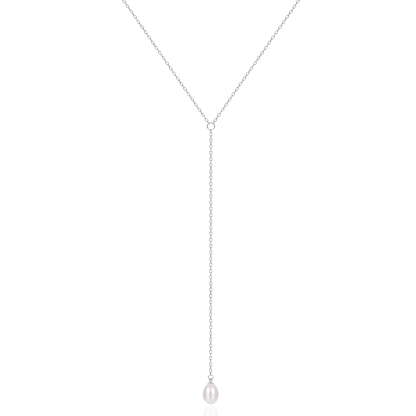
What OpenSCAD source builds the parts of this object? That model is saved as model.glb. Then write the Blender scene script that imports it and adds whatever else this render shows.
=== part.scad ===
// Y chain necklace with a pearl drop, in millimetres.
// The origin is at the nape, where the back of the loop rests. +Z is up, the drop hangs at the front on -Y,
// and +X is to the right of someone who faces the drop.

/* [Chain links] */
// Diameter of a link's wire
link_wire = 0.3; // [0.28:0.01:0.3]
// Width of a link over its wire
link_w = 1.48; // [1.46:0.01:1.54]
// Length of a link over its wire
link_l = 2.21; // [2.21:0.01:2.25]

/* [Front arms] */
// Angle of each arm from the vertical, in degrees
arm_angle = 34.8; // [33:0.1:37]
// Links in each arm before the hidden stretch round the neck
arm_links = 50; // [46:2:50]
// Distance from one link of an arm to the next
arm_pitch = 1.509; // [1.49:0.001:1.509]

/* [Drop] */
// Links in the drop, an odd number so that the first and last are seen edge on
drop_links = 79; // [59:2:89]
// Distance from one link of the drop to the next
drop_pitch = 1.493; // [1.48:0.001:1.509]

/* [Junction ring] */
// Outer diameter of the ring that joins the arms and the drop
joint_d = 4.02; // [3.96:0.01:4.2]
// Diameter of its wire
joint_wire = 0.5; // [0.46:0.01:0.54]
// Width of the cut in the ring
joint_cut = 0.34; // [0.2:0.01:0.36]
// Angle of the cut from the bottom of the ring, in degrees
joint_cut_at = 26; // [15:1:60]

/* [Loop round the neck] */
// Height of the nape over the centre of the junction ring
nape_rise = 102; // [98:1:106]
// Distance from the plane of the arms back to the nape
loop_depth = 66; // [62:1:70]
// Straight run of the hidden chain before it bends round the neck
back_straight = 3; // [2:0.5:5]
// How far the arm's line is kept up at the start of the bend
side_pull = 50; // [44:1:52]
// How far the level line across the nape is kept up at its end
nape_pull = 48; // [44:1:52]

/* [Clasp] */
// Diameter of the clasp's ring, through the middle of its tube
clasp_d = 4.2; // [4:0.1:4.6]
// Diameter of the ring's tube
clasp_tube = 1.1; // [1:0.05:1.2]
// Diameter of each soldered eye, through the middle of its wire
clasp_eye_d = 1.7; // [1.6:0.05:1.9]
// Diameter of the eye's wire
clasp_eye_wire = 0.5; // [0.45:0.05:0.55]

/* [Pendant ring] */
// Diameter of the small ring under the drop, through the middle of its wire
pendant_d = 2.42; // [2.3:0.02:2.5]
// Diameter of its wire
pendant_wire = 0.4; // [0.36:0.01:0.42]
// Turn of the ring from the plane of the arms, in degrees
pendant_turn = 18; // [0:1:20]
// Width of the cut in the ring
pendant_cut = 0.1; // [0.06:0.01:0.14]
// Angle of the cut from the top of the ring towards its left, in degrees
pendant_cut_at = 48; // [44:1:90]

/* [Cap] */
// Diameter of the eye on the cap, through the middle of its wire
eye_d = 1.6; // [1.54:0.02:1.8]
// Diameter of the eye's wire
eye_wire = 0.58; // [0.4:0.01:0.6]
// Turn of the eye from the plane of the arms, in degrees
eye_turn = -48; // [-60:1:-46]
// Petals round the cap
petals = 6; // [5:1:8]
// Distance from the cap's axis to the tip of a petal
petal_reach = 1.7; // [1.6:0.05:2.1]
// Thickness of the cap's sheet
cap_wall = 0.3; // [0.25:0.01:0.35]
// Diameter of the peg that goes into the pearl
peg_d = 0.7; // [0.6:0.05:0.8]
// Length of the peg inside the pearl
peg_l = 4.5; // [3.5:0.5:6]

/* [Pearl] */
// Greatest width of the pearl
pearl_w = 7.68; // [7.4:0.02:8]
// Height of the pearl above its widest place
pearl_up = 5.6; // [5.2:0.1:5.8]
// Height of the pearl below its widest place
pearl_down = 4.9; // [4.6:0.1:5.2]

/* [Hidden] */

// Gap between two wires that bear on each other, and between the cap and the pearl
bearing_gap = 0.1;
glue_gap = 0.05;

// Fineness of the round wires and of the turns that they make
wire_fn = 20;
turn_fn = 32;

// Half lengths and half widths through the middle of a link's wire
link_half_l = (link_l - link_wire) / 2;
link_half_w = (link_w - link_wire) / 2;

// Junction ring's centre
joint_r = (joint_d - joint_wire) / 2;
joint_z = -nape_rise;
front_y = -loop_depth;

// Distance from the junction ring's centre to the centre of the first link that hangs on it
first_link = joint_r - (joint_wire + link_wire) / 2 - bearing_gap + link_half_l;

// Heights down the drop, each through the middle of a wire
last_link_z = joint_z - first_link - (drop_links - 1) * drop_pitch;
last_wire_z = last_link_z - link_half_l;
pendant_top_z = last_wire_z + (link_wire + pendant_wire) / 2 + bearing_gap;
pendant_z = pendant_top_z - pendant_d / 2;
pendant_bottom_z = pendant_z - pendant_d / 2;
eye_top_z = pendant_bottom_z + (pendant_wire + eye_wire) / 2 + bearing_gap;
eye_z = eye_top_z - eye_d / 2;
cap_top_z = eye_z - eye_d / 2 - 0.05;
pearl_top_z = cap_top_z - cap_wall - glue_gap;
pearl_z = pearl_top_z - pearl_up;

// Clasp: its eyes are sunk this far into the ring, as solder fills the corner
solder = 0.15;
clasp_eye_x = (clasp_d + clasp_tube + clasp_eye_d + clasp_eye_wire) / 2 - solder;
clasp_half = clasp_eye_x + (clasp_eye_d + clasp_eye_wire) / 2;

// The hidden chain: a straight run on along the arm, then one smooth bend to the nape
back_start = first_link + (arm_links - 1) * arm_pitch + link_half_l + link_wire / 2 + bearing_gap;
back_sides = 8;
back_d = link_w / cos(180 / back_sides);
back_rings = 32;
arm_way = [sin(arm_angle), 0, cos(arm_angle)];
bend_start = [0, front_y, joint_z] + (back_start + back_straight) * arm_way;
bend_end = [clasp_half + bearing_gap, 0, 0];
bend = [bend_start, bend_start + side_pull * arm_way, bend_end + [nape_pull, 0, 0], bend_end];

function bend_point(t) = pow(1 - t, 3) * bend[0] + 3 * t * pow(1 - t, 2) * bend[1]
    + 3 * t * t * (1 - t) * bend[2] + pow(t, 3) * bend[3];
function bend_way(t) = pow(1 - t, 2) * (bend[1] - bend[0]) + 2 * t * (1 - t) * (bend[2] - bend[1])
    + t * t * (bend[3] - bend[2]);
function unit(v) = v / norm(v);

// Middle and direction of each ring of points along the hidden chain, the straight run first
back_middles = [[0, front_y, joint_z] + back_start * arm_way,
                for (i = [0 : back_rings]) bend_point(i / back_rings)];
back_ways = [arm_way, for (i = [0 : back_rings]) bend_way(i / back_rings)];

function ring_points(middle, way) =
    let (across = unit(cross([0, 0, 1], way)), over = unit(cross(way, across)))
    [for (i = [0 : back_sides - 1]) let (a = 360 * (i + 0.5) / back_sides)
        middle + back_d / 2 * (cos(a) * across + sin(a) * over)];

// A torus of round wire in the XZ plane, with a cut of the given width at an angle from its bottom
// that is counted towards +X
module wire_ring(middle_d, wire, cut = 0, cut_at = 0) {
    cut_angle = 360 * cut / (PI * middle_d);
    rotate([90, 0, 0])
        rotate([0, 0, cut_at - 90 + cut_angle / 2])
            rotate_extrude(angle = 360 - cut_angle, $fn = 2 * turn_fn)
                translate([middle_d / 2, 0]) circle(d = wire, $fn = wire_fn);
}

// One oval link in the XZ plane, its length along Z
module link() {
    side = link_half_l - link_half_w;
    for (end = [0, 180]) {
        rotate([0, end, 0]) {
            translate([0, 0, side]) rotate([90, 0, 0])
                rotate_extrude(angle = 180, $fn = turn_fn)
                    translate([link_half_w, 0]) circle(d = link_wire, $fn = wire_fn);
            translate([link_half_w, 0, -side])
                cylinder(h = 2 * side, d = link_wire, $fn = wire_fn);
        }
    }
}

// A straight run of links up +Z from the centre of the first, which is seen edge on from the front
module link_run(count, pitch) {
    for (i = [0 : count - 1]) {
        translate([0, 0, i * pitch])
            rotate([0, 0, i % 2 == 0 ? 90 : 0]) link();
    }
}

module junction_ring() {
    color("silver")
        translate([0, front_y, joint_z])
            wire_ring(2 * joint_r, joint_wire, joint_cut, joint_cut_at);
}

module arm_chain(side) {
    translate([0, front_y, joint_z])
        rotate([0, side * arm_angle, 0])
            translate([0, 0, first_link]) link_run(arm_links, arm_pitch);
}

module left_chain() {
    color("silver") arm_chain(-1);
}

module right_chain() {
    color("silver") arm_chain(1);
}

// The hidden chain's outer form on the right, as one tube
module back_chain() {
    points = [for (k = [0 : len(back_middles) - 1]) each ring_points(back_middles[k], back_ways[k])];
    last = len(back_middles) - 1;
    faces = [
        [for (i = [0 : back_sides - 1]) i],
        for (k = [0 : last - 1]) for (i = [0 : back_sides - 1])
            let (j = (i + 1) % back_sides, a = k * back_sides, b = a + back_sides)
            [a + j, a + i, b + i, b + j],
        [for (i = [0 : back_sides - 1]) last * back_sides + back_sides - 1 - i]
    ];
    polyhedron(points = points, faces = faces, convexity = 4);
}

module right_back_chain() {
    color("silver") back_chain();
}

module left_back_chain() {
    color("silver") mirror([1, 0, 0]) back_chain();
}

module drop_chain() {
    color("silver")
        translate([0, front_y, last_link_z]) link_run(drop_links, drop_pitch);
}

// Plain ring clasp, closed, with a soldered eye on each side for the ends of the chain
module clasp() {
    color("silver") {
        wire_ring(clasp_d, clasp_tube);
        for (side = [-1, 1]) {
            translate([side * clasp_eye_x, 0, 0]) wire_ring(clasp_eye_d, clasp_eye_wire);
        }
    }
}

module pendant_ring() {
    color("silver")
        translate([0, front_y, pendant_z])
            rotate([0, 0, pendant_turn])
                wire_ring(pendant_d, pendant_wire, pendant_cut, 180 + pendant_cut_at);
}

// Height of the pearl's surface over its widest place, at a distance from its axis
function pearl_height(x) = pearl_up * sqrt(1 - pow(2 * x / pearl_w, 2));

// Half section of the cap: a sheet that follows the pearl
cap_steps = 8;
cap_under = [for (i = [0 : cap_steps]) let (x = petal_reach * i / cap_steps)
    [x, pearl_z + pearl_height(x) + glue_gap]];
cap_over = [for (i = [cap_steps : -1 : 0]) let (x = petal_reach * i / cap_steps)
    [x, pearl_z + pearl_height(x) + glue_gap + cap_wall]];

module cap_sheet() {
    petal_r = petal_reach * sin(180 / petals) / (1 + sin(180 / petals));
    intersection() {
        rotate_extrude($fn = turn_fn) polygon(concat(cap_under, cap_over));
        translate([0, 0, pearl_z]) linear_extrude(height = 2 * pearl_up) {
            circle(r = petal_reach - petal_r, $fn = turn_fn);
            for (i = [0 : petals - 1]) {
                rotate(360 * i / petals - 90)
                    translate([petal_reach - petal_r, 0]) circle(r = petal_r * 1.04, $fn = turn_fn);
            }
        }
    }
}

module pearl_cap() {
    neck_d = 0.9;
    color("silver")
        translate([0, front_y, 0]) {
            cap_sheet();
            translate([0, 0, eye_z]) rotate([0, 0, eye_turn]) wire_ring(eye_d, eye_wire);
            translate([0, 0, cap_top_z - cap_wall]) cylinder(h = cap_wall + 0.12, d = neck_d, $fn = turn_fn);
            translate([0, 0, pearl_top_z - peg_l]) cylinder(h = peg_l + cap_wall, d = peg_d, $fn = turn_fn);
        }
}

// Half section of the pearl, two half ellipses that meet at its widest place
pearl_steps = 36;
pearl_section = [for (i = [0 : pearl_steps]) let (a = 180 * i / pearl_steps, up = a < 90)
    [pearl_w / 2 * sin(a), (up ? pearl_up : pearl_down) * cos(a)]];

module pearl() {
    hole_d = peg_d + 2 * glue_gap;
    hole_l = peg_l + glue_gap;
    color("linen")
        translate([0, front_y, pearl_z])
            difference() {
                rotate_extrude($fn = 2 * turn_fn) polygon(pearl_section);
                translate([0, 0, pearl_up - hole_l]) cylinder(h = 2 * hole_l, d = hole_d, $fn = turn_fn);
            }
}

junction_ring();
left_chain();
right_chain();
left_back_chain();
right_back_chain();
drop_chain();
clasp();
pendant_ring();
pearl_cap();
pearl();
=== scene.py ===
import math
import random

import bpy
from mathutils import Matrix, Vector


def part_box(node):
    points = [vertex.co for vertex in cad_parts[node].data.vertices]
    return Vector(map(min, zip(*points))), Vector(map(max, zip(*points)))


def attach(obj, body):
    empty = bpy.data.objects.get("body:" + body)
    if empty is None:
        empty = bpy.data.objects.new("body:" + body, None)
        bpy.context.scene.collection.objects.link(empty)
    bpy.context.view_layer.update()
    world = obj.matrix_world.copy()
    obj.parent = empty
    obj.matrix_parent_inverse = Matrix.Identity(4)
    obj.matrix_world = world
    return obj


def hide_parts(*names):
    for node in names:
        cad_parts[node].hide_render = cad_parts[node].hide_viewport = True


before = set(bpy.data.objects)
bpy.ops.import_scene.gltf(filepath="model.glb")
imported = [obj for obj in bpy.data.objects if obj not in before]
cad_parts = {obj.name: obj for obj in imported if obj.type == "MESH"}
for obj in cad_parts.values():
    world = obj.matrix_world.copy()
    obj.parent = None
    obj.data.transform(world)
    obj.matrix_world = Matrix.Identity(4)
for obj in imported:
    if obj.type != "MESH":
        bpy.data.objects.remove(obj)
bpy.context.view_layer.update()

# Cable chain. Oval links of round drawn silver wire, each soldered shut and hung through the next at a
# quarter turn, polished in a drum. One chain runs from the ring up each side and round the neck to the
# clasp, and a third hangs straight down as the drop. Its front lies in one upright plane.
MM = 0.001
link_wire = 0.30 * MM
link_w = 1.48 * MM
link_l = 2.21 * MM
link_half_l = (link_l - link_wire) / 2
link_half_w = (link_w - link_wire) / 2
link_around = 16
link_sides = 6

joint_low, joint_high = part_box("junction_ring")
joint_middle = (Vector(joint_low) + Vector(joint_high)) / 2
front_y = joint_middle.y
joint_wire = 0.50 * MM
joint_r = (4.02 * MM - joint_wire) / 2
bearing_gap = 0.10 * MM
first_link = joint_r - (joint_wire + link_wire) / 2 - bearing_gap + link_half_l

arm_angle = math.radians(34.8)
arm_links = 50
arm_pitch = 1.509 * MM
neck_links = 81
drop_links = 79
drop_pitch = 1.493 * MM


def only(piece):
    """Selects one piece and nothing else."""
    bpy.ops.object.select_all(action="DESELECT")
    piece.select_set(True)
    bpy.context.view_layer.objects.active = piece


def settle(piece):
    """Puts a piece's place and turn into its mesh."""
    only(piece)
    bpy.ops.object.transform_apply(location=True, rotation=True, scale=True)


def joined(pieces, name):
    """Makes one named piece of several."""
    bpy.ops.object.select_all(action="DESELECT")
    for piece in pieces:
        piece.select_set(True)
    bpy.context.view_layer.objects.active = pieces[0]
    bpy.ops.object.join()
    whole = bpy.context.view_layer.objects.active
    whole.name = name
    whole.data.name = name
    return whole


def pick(piece, wanted):
    """Selects the vertices that a test wants, and the edges and faces between them."""
    for v in piece.data.vertices:
        v.select = wanted(v)
    for e in piece.data.edges:
        e.select = all(piece.data.vertices[i].select for i in e.vertices)
    for f in piece.data.polygons:
        f.select = all(piece.data.vertices[i].select for i in f.vertices)


def new_link():
    """One oval link in the XZ plane round the origin: a ring of wire drawn out along Z to an ellipse."""
    bpy.ops.object.select_all(action="DESELECT")
    bpy.ops.mesh.primitive_torus_add(major_segments=link_around, minor_segments=link_sides,
                                     major_radius=link_half_w, minor_radius=link_wire / 2,
                                     rotation=(math.pi / 2, 0, 0))
    piece = bpy.context.active_object
    settle(piece)
    step = 2 * math.pi / link_around
    angle_up = [math.atan2(v.co.z, abs(v.co.x)) for v in piece.data.vertices]
    for up in (1, -1):
        for k in range(link_around // 4):
            pick(piece, lambda v: angle_up[v.index] * up > (k + 0.5) * step)
            rise = math.sin((k + 1) * step) - math.sin(k * step)
            bpy.ops.object.mode_set(mode="EDIT")
            bpy.ops.transform.translate(value=(0, 0, up * rise * (link_half_l - link_half_w)))
            bpy.ops.object.mode_set(mode="OBJECT")
    bpy.ops.object.shade_smooth()
    return piece


def link_frame(middle, way, face_on, roll):
    """Where a link goes: its length along the chain's way, its width flat to the front or edge on."""
    across = Vector((0, 0, 1)).cross(way)
    if across.length < 0.01:
        across = Vector((0, 1, 0))
    across.normalize()
    over = way.cross(across)
    spread, normal = (over, -across) if face_on else (across, over)
    turned = Matrix((spread, normal, way)).transposed().to_4x4()
    return Matrix.Translation(middle) @ turned @ Matrix.Rotation(roll, 4, "Z")


def chain_of(places, name, seed):
    """A chain of copies of one link, at a list of middles and ways."""
    turns = random.Random(seed)
    links = []
    for i, (middle, way) in enumerate(places):
        one = link.copy()
        one.data = link.data.copy()
        bpy.context.collection.objects.link(one)
        roll = math.radians(turns.choice((1, -1)) * turns.uniform(3, 11))
        one.data.transform(link_frame(middle, way, i % 2 == 1, roll))
        links.append(one)
    return joined(links, name)


def silver_material(name, tone, roughness, mirror=1.0):
    """Polished silver: a near mirror that soft cloudy wear makes a little duller and darker in places."""
    smoothest = roughness * 0.7
    dullest = roughness * 1.5
    worn_tone = tone * 0.86
    material = bpy.data.materials.new(name)
    material.use_nodes = True
    tree = material.node_tree
    shader = tree.nodes["Principled BSDF"]
    shader.inputs["Metallic"].default_value = mirror
    place = tree.nodes.new("ShaderNodeTexCoord")
    cloud = tree.nodes.new("ShaderNodeTexNoise")
    cloud.inputs["Scale"].default_value = 900
    cloud.inputs["Detail"].default_value = 4
    tree.links.new(place.outputs["Object"], cloud.inputs["Vector"])
    wear = tree.nodes.new("ShaderNodeMapRange")
    wear.inputs["To Min"].default_value = smoothest
    wear.inputs["To Max"].default_value = dullest
    tree.links.new(cloud.outputs["Fac"], wear.inputs["Value"])
    tree.links.new(wear.outputs["Result"], shader.inputs["Roughness"])
    shade = tree.nodes.new("ShaderNodeValToRGB")
    shade.color_ramp.elements[0].color = (worn_tone, worn_tone, tone * 0.875, 1)
    shade.color_ramp.elements[1].color = (tone, tone, tone * 1.01, 1)
    tree.links.new(cloud.outputs["Fac"], shade.inputs["Fac"])
    tree.links.new(shade.outputs["Color"], shader.inputs["Base Color"])
    fine = tree.nodes.new("ShaderNodeTexNoise")
    fine.inputs["Scale"].default_value = 9000
    tree.links.new(place.outputs["Object"], fine.inputs["Vector"])
    bump = tree.nodes.new("ShaderNodeBump")
    bump.inputs["Strength"].default_value = 0.06
    bump.inputs["Distance"].default_value = 0.01 * MM
    tree.links.new(fine.outputs["Fac"], bump.inputs["Height"])
    tree.links.new(bump.outputs["Normal"], shader.inputs["Normal"])
    return material


def finish_in(piece, material):
    """Gives a piece one material all over."""
    piece.data.materials.clear()
    piece.data.materials.append(material)


# The chain's silver is a darker copy of the rings' silver: its lower tone is painted shade for the fine
# wire's darker look.
shaded_chain_silver = silver_material("chain silver", 0.60, 0.15)
link = new_link()

# The arms rise straight from the ring, and the hidden stretch runs on and bends round the neck
arm_way = Vector((math.sin(arm_angle), 0, math.cos(arm_angle)))
back_start = first_link + (arm_links - 1) * arm_pitch + link_half_l + link_wire / 2 + bearing_gap
back_straight = 3 * MM
side_pull = 50 * MM
nape_pull = 48 * MM
bend_steps = 600
clasp_eye_wire = 0.5 * MM
clasp_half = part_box("clasp")[1][0]
bend_start = joint_middle + (back_start + back_straight) * arm_way
bend_end = Vector((clasp_half + bearing_gap, 0, 0))
bend = (bend_start, bend_start + side_pull * arm_way, bend_end + Vector((nape_pull, 0, 0)), bend_end)


def bend_point(t):
    """A point of the smooth bend, from its start at 0 to its end at 1."""
    s = 1 - t
    return s ** 3 * bend[0] + 3 * s * s * t * bend[1] + 3 * s * t * t * bend[2] + t ** 3 * bend[3]


# Points close together along the right side, from the last front link to the clasp's eye
arm_end = joint_middle + (first_link + (arm_links - 1) * arm_pitch) * arm_way
last_neck_link = Vector((clasp_half - clasp_eye_wire - link_wire / 2 - bearing_gap + link_half_l, 0, 0))
route = [arm_end] + [bend_point(k / bend_steps) for k in range(bend_steps)] + [last_neck_link]
reach = [0.0]
for a, b in zip(route, route[1:]):
    reach.append(reach[-1] + (b - a).length)


def along_route(distance):
    """The point and the way at a distance along the hidden stretch."""
    k = 1
    while k < len(route) - 1 and reach[k] < distance:
        k += 1
    a, b = route[k - 1], route[k]
    share = (distance - reach[k - 1]) / (reach[k] - reach[k - 1])
    return a + share * (b - a), (b - a).normalized()


def straight_run(count, pitch, way):
    """Middles and ways of the links in a straight stretch that starts at the junction ring."""
    return [(joint_middle + (first_link + i * pitch) * way, way) for i in range(count)]


def flipped(places):
    """The same places on the left side."""
    return [(Vector((-p.x, p.y, p.z)), Vector((-w.x, w.y, w.z))) for p, w in places]


arm_places = straight_run(arm_links, arm_pitch, arm_way)
neck_places = [along_route(reach[-1] * (i + 1) / neck_links) for i in range(neck_links)]
drop_places = straight_run(drop_links, drop_pitch, Vector((0, 0, -1)))
for places, name, node, seed in (
        (arm_places, "right_arm_links", "right_chain", 1),
        (flipped(arm_places), "left_arm_links", "left_chain", 2),
        (neck_places, "right_neck_links", "right_back_chain", 3),
        (flipped(neck_places), "left_neck_links", "left_back_chain", 4),
        (drop_places, "drop_links", "drop_chain", 5)):
    chain = chain_of(places, name, seed)
    finish_in(chain, shaded_chain_silver)
    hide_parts(node)
    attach(chain, "root")
bpy.data.objects.remove(link)

# Jump rings and clasp. Round wire bent to a ring with its saw cut left open at the junction, a small one
# under the drop, and a plain ring clasp with a soldered eye each side. They are brighter than the chain,
# whose silver has painted shade in its lower tone.
ring_silver = silver_material("ring silver", 0.81, 0.11)
for node in ("junction_ring", "pendant_ring", "clasp"):
    finish_in(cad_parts[node], ring_silver)

# Pearl. A drilled freshwater pearl, an egg with its blunt end down, white nacre with a lilac and a green
# overtone and the shallow waves that such pearls have. It is glued on the peg of the cap.
pearl_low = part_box("pearl")[0]
pearl_w = 7.68 * MM
pearl_down = 4.9 * MM
pearl_up = 5.6 * MM
pearl_middle = Vector((0, front_y, pearl_low[2] + pearl_down))
swell_size = 4 * MM
swell_depth = 0.04 * MM
lilac = (0.76, 0.712, 0.775, 1)
rose = (0.81, 0.753, 0.765, 1)
pale_green = (0.77, 0.78, 0.765, 1)
overtone_shift = Vector((0, 0, 2 * MM))

bpy.ops.object.select_all(action="DESELECT")
bpy.ops.mesh.primitive_uv_sphere_add(segments=64, ring_count=48, radius=pearl_w / 2, location=pearl_middle)
pearl = bpy.context.active_object
pearl.name = "pearl_nacre"
settle(pearl)
for up, height in ((1, pearl_up), (-1, pearl_down)):
    pick(pearl, lambda v: (v.co.z - pearl_middle.z) * up > 0.001 * MM)
    bpy.ops.object.mode_set(mode="EDIT")
    bpy.ops.transform.resize(value=(1, 1, height / (pearl_w / 2)), center_override=pearl_middle)
    bpy.ops.object.mode_set(mode="OBJECT")
waves = bpy.data.textures.new("nacre waves", "CLOUDS")
waves.noise_scale = swell_size
swell = pearl.modifiers.new("swell", "DISPLACE")
swell.texture = waves
swell.texture_coords = "LOCAL"
swell.strength = swell_depth
swell.mid_level = 1.0
only(pearl)
bpy.ops.object.modifier_apply(modifier="swell")
bpy.ops.object.shade_smooth()

nacre = bpy.data.materials.new("pearl nacre")
nacre.use_nodes = True
tree = nacre.node_tree
shader = tree.nodes["Principled BSDF"]
shader.inputs["Metallic"].default_value = 0.3
shader.inputs["Roughness"].default_value = 0.25
shader.inputs["IOR"].default_value = 1.6
place = tree.nodes.new("ShaderNodeTexCoord")
from_middle = tree.nodes.new("ShaderNodeMapping")
from_middle.inputs["Location"].default_value = overtone_shift - pearl_middle
tree.links.new(place.outputs["Object"], from_middle.inputs["Vector"])
drift = tree.nodes.new("ShaderNodeTexNoise")
drift.inputs["Scale"].default_value = 260
drift.inputs["Detail"].default_value = 3
drift.inputs["Distortion"].default_value = 0.6
tree.links.new(from_middle.outputs["Vector"], drift.inputs["Vector"])
overtone = tree.nodes.new("ShaderNodeValToRGB")
ramp = overtone.color_ramp
ramp.elements[0].position = 0.25
ramp.elements[0].color = lilac
ramp.elements[1].position = 0.75
ramp.elements[1].color = pale_green
ramp.elements.new(0.5).color = rose
tree.links.new(drift.outputs["Fac"], overtone.inputs["Fac"])
tree.links.new(overtone.outputs["Color"], shader.inputs["Base Color"])
growth = tree.nodes.new("ShaderNodeTexNoise")
growth.inputs["Scale"].default_value = 1400
growth.inputs["Detail"].default_value = 5
tree.links.new(from_middle.outputs["Vector"], growth.inputs["Vector"])
skin = tree.nodes.new("ShaderNodeBump")
skin.inputs["Strength"].default_value = 0.05
skin.inputs["Distance"].default_value = 0.02 * MM
tree.links.new(growth.outputs["Fac"], skin.inputs["Height"])
tree.links.new(skin.outputs["Normal"], shader.inputs["Normal"])
finish_in(pearl, nacre)
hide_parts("pearl")
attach(pearl, "pearl_drop")

# Cap. A thin stamped silver flower that hugs the top of the pearl, with a short neck and a wire eye
# soldered upright on it. The eye hangs in the small ring.
petals = 6
petal_reach = 1.7 * MM
petal_r = petal_reach * math.sin(math.pi / petals) / (1 + math.sin(math.pi / petals))
petal_out = petal_reach - petal_r
petal_edge_round = 0.08 * MM
flower_rings = 5
cap_wall = 0.30 * MM
glue_gap = 0.05 * MM
cap_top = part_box("pearl_cap")[1][2]
eye_d = 1.60 * MM
eye_wire = 0.58 * MM
eye_turn = math.radians(-48)
eye_middle = Vector((0, front_y, cap_top - (eye_d + eye_wire) / 2))
neck_foot_r = 0.62 * MM
neck_top_r = 0.26 * MM
neck_top_round = 0.05 * MM
neck_foot = pearl_middle.z + pearl_up + glue_gap + cap_wall * 0.6
neck_top = eye_middle.z - eye_d / 2 + 0.1 * MM


def petal_edge(angle):
    """Distance from the axis to the flower's edge."""
    step = 2 * math.pi / petals
    off = (angle + math.pi / 2 + step / 2) % step - step / 2
    return petal_out * math.cos(off) + math.sqrt(max(0, petal_r ** 2 - (petal_out * math.sin(off)) ** 2))


bpy.ops.object.select_all(action="DESELECT")
bpy.ops.mesh.primitive_circle_add(vertices=72, radius=petal_reach, fill_type="NGON",
                                  location=(0, front_y, pearl_middle.z + pearl_up + 1 * MM))
flower = bpy.context.active_object
settle(flower)
bpy.ops.object.mode_set(mode="EDIT")
bpy.ops.mesh.select_all(action="SELECT")
for ring in range(flower_rings):
    bpy.ops.mesh.inset(thickness=petal_reach / (flower_rings + 1), use_boundary=True)
bpy.ops.mesh.poke()
bpy.ops.object.mode_set(mode="OBJECT")
for v in flower.data.vertices:
    x, y = v.co.x, v.co.y - front_y
    r = math.hypot(x, y)
    if r > 0.01 * MM:
        share = r / petal_reach
        grow = 1 + share * (petal_edge(math.atan2(y, x)) / petal_reach - 1)
        v.co.x, v.co.y = x * grow, front_y + y * grow
        r *= grow
    v.co.z = pearl_middle.z + pearl_up * math.sqrt(1 - (2 * r / pearl_w) ** 2) + glue_gap
sheet = flower.modifiers.new("sheet", "SOLIDIFY")
sheet.thickness = cap_wall
sheet.offset = 1
edge = flower.modifiers.new("edge", "BEVEL")
edge.width = petal_edge_round
edge.segments = 2
edge.limit_method = "ANGLE"
only(flower)
for name in ("sheet", "edge"):
    bpy.ops.object.modifier_apply(modifier=name)
bpy.ops.object.shade_smooth_by_angle(angle=math.radians(40))

bpy.ops.object.select_all(action="DESELECT")
bpy.ops.mesh.primitive_torus_add(major_segments=40, minor_segments=12, major_radius=eye_d / 2,
                                 minor_radius=eye_wire / 2, location=eye_middle,
                                 rotation=(math.pi / 2, 0, eye_turn))
eye = bpy.context.active_object
settle(eye)
bpy.ops.object.shade_smooth()
bpy.ops.object.select_all(action="DESELECT")
bpy.ops.mesh.primitive_cone_add(vertices=32, radius1=neck_foot_r, radius2=neck_top_r,
                                depth=neck_top - neck_foot,
                                location=(0, front_y, (neck_foot + neck_top) / 2))
neck = bpy.context.active_object
settle(neck)
pick(neck, lambda v: v.co.z > (neck_foot + neck_top) / 2)
bpy.ops.object.mode_set(mode="EDIT")
bpy.ops.mesh.bevel(offset=neck_top_round, segments=3)
bpy.ops.object.mode_set(mode="OBJECT")
bpy.ops.object.shade_smooth_by_angle(angle=math.radians(50))

frosted_silver = silver_material("frosted silver", 0.95, 0.38, mirror=0.65)
for piece, finish in ((flower, frosted_silver), (neck, frosted_silver), (eye, ring_silver)):
    finish_in(piece, finish)
cap = joined([flower, eye, neck], "petal_cap")
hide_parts("pearl_cap")
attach(cap, "pearl_drop")

# Floor. A round white acrylic light table just under the pearl, lit from below. Seen
# at a skimming angle its satin polish mirrors the pearl faintly. Its glow and its polish have values of
# their own for the camera, for matt things and for polished ones, and for polished ones a painted pool of
# light makes its glow brightest under the pearl.
floor_gap = 0.2 * MM
floor_z = pearl_low[2] - floor_gap
floor_r = 3
soft_light = 1.12
white_level = 1.05
# Painted pool of light: only polished things see the table glow brightest round the pearl's foot.
painted_pool_r = 2.5 * MM
painted_pool_end = 12 * MM
painted_pool_level = 1.05
table_level = 0.47
seen_roughness = 0.10
cast_roughness = 0.32
seen_mirror = 0.56
cast_mirror = 0.42

bpy.ops.object.select_all(action="DESELECT")
bpy.ops.mesh.primitive_circle_add(vertices=96, radius=floor_r, fill_type="NGON", location=(0, 0, floor_z))
floor = bpy.context.active_object
floor.name = "floor"
settle(floor)
acrylic = bpy.data.materials.new("white acrylic")
acrylic.use_nodes = True
acrylic.cycles.emission_sampling = "NONE"
tree = acrylic.node_tree
tree.nodes.remove(tree.nodes["Principled BSDF"])
seen = tree.nodes.new("ShaderNodeLightPath")


def by_ray(ray, otherwise, then):
    """A value for one kind of ray and another for the rest."""
    node = tree.nodes.new("ShaderNodeMapRange")
    node.inputs["To Min"].default_value = otherwise
    node.inputs["To Max"].default_value = then
    tree.links.new(seen.outputs[ray], node.inputs["Value"])
    return node


glow = tree.nodes.new("ShaderNodeEmission")
to_camera = by_ray("Is Camera Ray", 0, white_level)
to_matt = by_ray("Is Diffuse Ray", 0, soft_light)
to_polish = by_ray("Is Glossy Ray", 0, 0)
tree.links.new(to_camera.outputs["Result"], to_matt.inputs["To Min"])
tree.links.new(to_matt.outputs["Result"], to_polish.inputs["To Min"])
tree.links.new(to_polish.outputs["Result"], glow.inputs["Strength"])
place = tree.nodes.new("ShaderNodeTexCoord")
from_foot = tree.nodes.new("ShaderNodeMapping")
from_foot.inputs["Location"].default_value = (0, -front_y, -floor_z)
tree.links.new(place.outputs["Object"], from_foot.inputs["Vector"])
away = tree.nodes.new("ShaderNodeVectorMath")
away.operation = "LENGTH"
tree.links.new(from_foot.outputs["Vector"], away.inputs[0])
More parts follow.
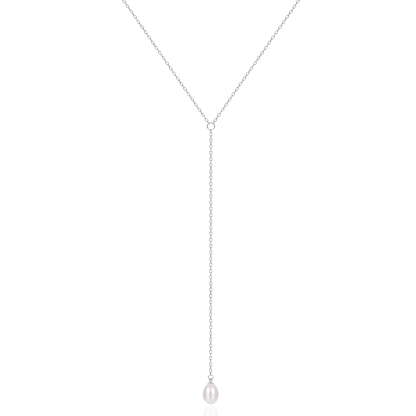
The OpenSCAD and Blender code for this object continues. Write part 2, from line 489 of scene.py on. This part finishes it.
# Painted pool of light: the glow that polished things see is brightest round the pearl's foot and fades out
# to the table's level.
painted_pool_glow = tree.nodes.new("ShaderNodeMapRange")
painted_pool_glow.inputs["From Min"].default_value = painted_pool_r
painted_pool_glow.inputs["From Max"].default_value = painted_pool_end
painted_pool_glow.inputs["To Min"].default_value = painted_pool_level
painted_pool_glow.inputs["To Max"].default_value = table_level
tree.links.new(away.outputs["Value"], painted_pool_glow.inputs["Value"])
tree.links.new(painted_pool_glow.outputs["Result"], to_polish.inputs["To Max"])
polish = tree.nodes.new("ShaderNodeBsdfGlossy")
polish.inputs["Color"].default_value = (1, 1, 1, 1)
polish_roughness = by_ray("Is Camera Ray", cast_roughness, seen_roughness)
tree.links.new(polish_roughness.outputs["Result"], polish.inputs["Roughness"])
skim = tree.nodes.new("ShaderNodeFresnel")
skim.inputs["IOR"].default_value = 1.1
skim_mirror = tree.nodes.new("ShaderNodeMapRange")
skim_mirror.inputs["To Max"].default_value = seen_mirror
tree.links.new(skim.outputs["Fac"], skim_mirror.inputs["Value"])
mirror = by_ray("Is Camera Ray", cast_mirror, 0)
tree.links.new(skim_mirror.outputs["Result"], mirror.inputs["To Max"])
both = tree.nodes.new("ShaderNodeMixShader")
tree.links.new(mirror.outputs["Result"], both.inputs["Fac"])
tree.links.new(glow.outputs["Emission"], both.inputs[1])
tree.links.new(polish.outputs["BSDF"], both.inputs[2])
tree.links.new(both.outputs["Shader"], tree.nodes["Material Output"].inputs["Surface"])
finish_in(floor, acrylic)

# Light. A white tent round the necklace: soft even light on what is matt, and in what is polished bright
# above, with a lit wall right behind, and dim on the camera's side. Two strip lamps put the pearl's pair of
# highlights on it, and two faint ones that shine up through the table carry their streaks down.
dim_front = (0.10, 0.10, 0.101, 1)
side_wall = (0.43, 0.43, 0.434, 1)
bright_top = (0.80, 0.80, 0.808, 1)
brightest_way = (0, 0.40, 0.92)
back_wall_edge = 0.88
back_wall_full = 0.96
lamp_distance = 1.2

tent = bpy.data.worlds.new("tent")
bpy.context.scene.world = tent
tent.use_nodes = True
tent.cycles.sampling_method = "NONE"
tree = tent.node_tree
sky = tree.nodes["Background"]
place = tree.nodes.new("ShaderNodeTexCoord")
toward = tree.nodes.new("ShaderNodeVectorMath")
toward.operation = "DOT_PRODUCT"
toward.inputs[1].default_value = brightest_way
tree.links.new(place.outputs["Generated"], toward.inputs[0])
spread = tree.nodes.new("ShaderNodeMapRange")
spread.inputs["From Min"].default_value = -1
tree.links.new(toward.outputs["Value"], spread.inputs["Value"])
rise = tree.nodes.new("ShaderNodeValToRGB")
ramp = rise.color_ramp
ramp.elements[0].position = 0.36
ramp.elements[0].color = dim_front
ramp.elements[1].position = 0.98
ramp.elements[1].color = bright_top
ramp.elements.new(0.66).color = side_wall
tree.links.new(spread.outputs["Result"], rise.inputs["Fac"])
behind = tree.nodes.new("ShaderNodeVectorMath")
behind.operation = "DOT_PRODUCT"
behind.inputs[1].default_value = (0, 1, 0)
tree.links.new(place.outputs["Generated"], behind.inputs[0])
back_wall = tree.nodes.new("ShaderNodeMapRange")
back_wall.interpolation_type = "SMOOTHSTEP"
back_wall.inputs["From Min"].default_value = back_wall_edge
back_wall.inputs["From Max"].default_value = back_wall_full
tree.links.new(behind.outputs["Value"], back_wall.inputs["Value"])
walls = tree.nodes.new("ShaderNodeMixRGB")
walls.inputs["Color2"].default_value = (white_level, white_level, white_level, 1)
tree.links.new(back_wall.outputs["Result"], walls.inputs["Fac"])
tree.links.new(rise.outputs["Color"], walls.inputs["Color1"])
tree.links.new(walls.outputs["Color"], sky.inputs["Color"])
seen = tree.nodes.new("ShaderNodeLightPath")
light = sky
for ray, strength in (("Is Diffuse Ray", soft_light), ("Is Camera Ray", white_level)):
    even = tree.nodes.new("ShaderNodeBackground")
    even.inputs["Color"].default_value = (1, 1, 1, 1)
    even.inputs["Strength"].default_value = strength
    choice = tree.nodes.new("ShaderNodeMixShader")
    tree.links.new(seen.outputs[ray], choice.inputs["Fac"])
    tree.links.new(light.outputs[0], choice.inputs[1])
    tree.links.new(even.outputs["Background"], choice.inputs[2])
    light = choice
tree.links.new(light.outputs[0], tree.nodes["World Output"].inputs["Surface"])


def strip_lamp(name, azimuth, elevation, size, brightness, lit):
    """A soft oval lamp that faces the pearl. Azimuth counts from the camera's side towards +X."""
    a, e = math.radians(azimuth), math.radians(elevation)
    back = Vector((math.sin(a) * math.cos(e), -math.cos(a) * math.cos(e), math.sin(e)))
    data = bpy.data.lights.new(name, "AREA")
    data.shape = "ELLIPSE"
    data.size, data.size_y = size
    data.energy = brightness * math.pi * size[0] * size[1]
    lamp = bpy.data.objects.new(name, data)
    bpy.context.collection.objects.link(lamp)
    lamp.location = pearl_middle + lamp_distance * back
    lamp.rotation_euler = (-back).to_track_quat("-Z", "Y").to_euler()
    lamp.visible_diffuse = False
    lamp.light_linking.receiver_collection = lit
    if elevation < 0:
        lamp.light_linking.blocker_collection = lit


pearl_and_floor = bpy.data.collections.new("lit by the high strips")
pearl_alone = bpy.data.collections.new("lit by the low strips")
for lit, piece in ((pearl_and_floor, pearl), (pearl_and_floor, floor), (pearl_alone, pearl)):
    lit.objects.link(piece)
for name, azimuth, elevation, size, brightness, lit in (
        ("left_strip", -41, 23, (0.88, 0.90), 2.3, pearl_and_floor),
        ("right_strip", 37, 23, (0.84, 0.90), 2.3, pearl_and_floor),
        ("left_low_strip", -66, -52, (0.30, 0.70), 1.6, pearl_alone),
        ("right_low_strip", 60, -52, (0.30, 0.70), 1.0, pearl_alone)):
    strip_lamp(name, azimuth, elevation, size, brightness, lit)

# Camera. Level with the middle of the picture, far off with a long lens, leaned a hair as in the photo. It
# looks where the middle of the junction ring falls on the same pixel as there.
pixel = 0.48 * MM
frame_pixels = 416
joint_px = (210.87, 126.43)
camera_distance = 1.8
camera_lean = math.radians(-0.05)
view_middle = Vector((joint_middle.x + (frame_pixels / 2 - joint_px[0]) * pixel, front_y,
                      joint_middle.z - (frame_pixels / 2 - joint_px[1]) * pixel))
camera_data = bpy.data.cameras.new("camera")
camera = bpy.data.objects.new("camera", camera_data)
bpy.context.collection.objects.link(camera)
camera_data.sensor_width = 36
camera_data.lens = camera_data.sensor_width * camera_distance / (frame_pixels * pixel)
camera_data.clip_end = 100
camera.location = view_middle + Vector((0, -camera_distance, 0))
camera.rotation_euler = (math.pi / 2, camera_lean, 0)
bpy.context.scene.camera = camera
bpy.context.scene.view_settings.view_transform = "Standard"
